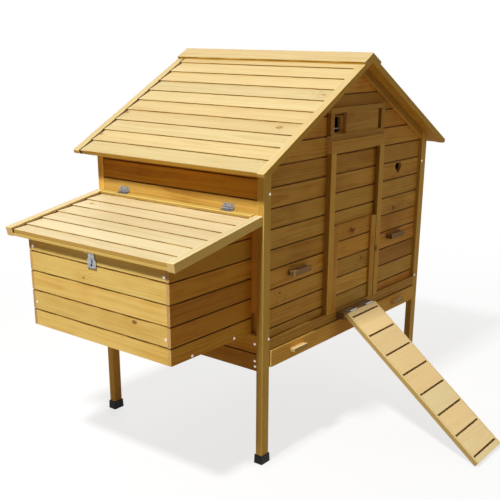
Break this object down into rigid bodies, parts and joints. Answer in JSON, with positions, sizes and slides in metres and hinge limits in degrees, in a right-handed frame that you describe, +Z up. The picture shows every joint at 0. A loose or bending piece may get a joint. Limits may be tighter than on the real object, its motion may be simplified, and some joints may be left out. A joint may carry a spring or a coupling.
{
  "type": "raised chicken coop",
  "caption": "Raised wooden hen coop on posts: gable roof of lapped boards, sliding pop door, folding ramp, lidded side nest box, sliding vent and pull-out tray.",
  "frame": {"origin": "on the ground, under the middle of the coop's box, ramp and nest box included", "axes": "+Z up, +Y from the front gable with the pop door to the rear, +X from the nest box to the plain side wall"},
  "size_m": [1.4726, 1.3288, 1.2821],
  "materials": {
    "pine": "honey stain, satin",
    "plywood": "bare",
    "zinc": "zinc plated",
    "black_plastic": "moulded"
  },
  "bodies": {
    "coop_frame": {"barge_strips": "pine", "carry_handles": "pine", "door_guides": "pine", "door_lintel": "pine", "fixed_hinge_leaves": "zinc", "foot_caps": "black_plastic", "front_gable_boards": "pine", "front_heart_board": "pine", "front_rail": "pine", "front_vent_board": "pine", "front_wall_left_boards": "pine", "front_wall_right_boards": "pine", "gable_battens": "pine", "hinge_pins": "zinc", "latch_base": "zinc", "left_wall_lower_boards": "pine", "left_wall_upper_boards": "pine", "nest_divider": "plywood", "nest_floor": "plywood", "nest_front_boards": "pine", "nest_side_front_boards": "pine", "nest_side_rear_boards": "pine", "perch_blocks": "pine", "perches": "pine", "post_front_left": "pine", "post_front_right": "pine", "post_rear_left": "pine", "post_rear_right": "pine", "ramp_ledger": "pine", "rear_rail": "pine", "rear_wall_boards": "pine", "ridge_boards": "pine", "right_wall_boards": "pine", "roof_battens": "pine", "roof_left_boards": "pine", "roof_right_boards": "pine", "side_wall_stiles": "pine", "tray_runners": "pine", "vent_bar": "zinc", "vent_frame": "pine"},
    "nest_lid": {"lid_boards": "pine", "lid_end_strips": "pine", "lid_hinge_rail": "pine", "lid_cleats": "pine", "lid_hinge_leaves": "zinc", "hasp_leaf": "zinc", "hasp_pin": "zinc"},
    "hasp": {"hasp_plate": "zinc"},
    "latch_eye": {"latch_eye": "zinc"},
    "pop_door": {"door_boards": "pine", "door_stiles": "pine", "door_knob": "pine"},
    "vent_shutter": {"vent_shutter": "pine"},
    "ramp": {"ramp_boards": "pine", "ramp_side_strips": "pine", "ramp_hinge_leaves": "zinc"},
    "tray": {"tray_front": "pine", "tray_base": "plywood", "tray_rims": "pine", "tray_handles": "pine"}
  },
  "joints": [
    {"name": "lid_hinge", "type": "hinge", "parent": "coop_frame", "child": "nest_lid", "pos_m": [-0.35233, 0.2474, 0.83021], "axis": [0, 1, 0], "range_deg": [0, 75]},
    {"name": "hasp_swing", "type": "hinge", "parent": "nest_lid", "child": "hasp", "pos_m": [-0.71633, 0.2559, 0.72628], "axis": [0, 1, 0], "range_deg": [0, 50]},
    {"name": "latch_turn", "type": "hinge", "parent": "coop_frame", "child": "latch_eye", "pos_m": [-0.71633, 0.2559, 0.69953], "axis": [1, 0, 0], "range_deg": [0, 90]},
    {"name": "door_slide", "type": "slide", "parent": "coop_frame", "child": "pop_door", "axis": [0, 0, 1], "range_m": [0, 0.24]},
    {"name": "shutter_slide", "type": "slide", "parent": "coop_frame", "child": "vent_shutter", "axis": [-1, 0, 0], "range_m": [-0.02, 0.072]},
    {"name": "ramp_fold", "type": "hinge", "parent": "coop_frame", "child": "ramp", "pos_m": [0.16657, -0.1401, 0.4239], "axis": [-1, 0, 0], "range_deg": [0, 125]},
    {"name": "tray_slide", "type": "slide", "parent": "coop_frame", "child": "tray", "axis": [0, -1, 0], "range_m": [0, 0.5464]}
  ],
  "couplings": [
    {"joint": "tray_slide", "follows": "ramp_fold", "m_per_rad": 0.25}
  ]
}
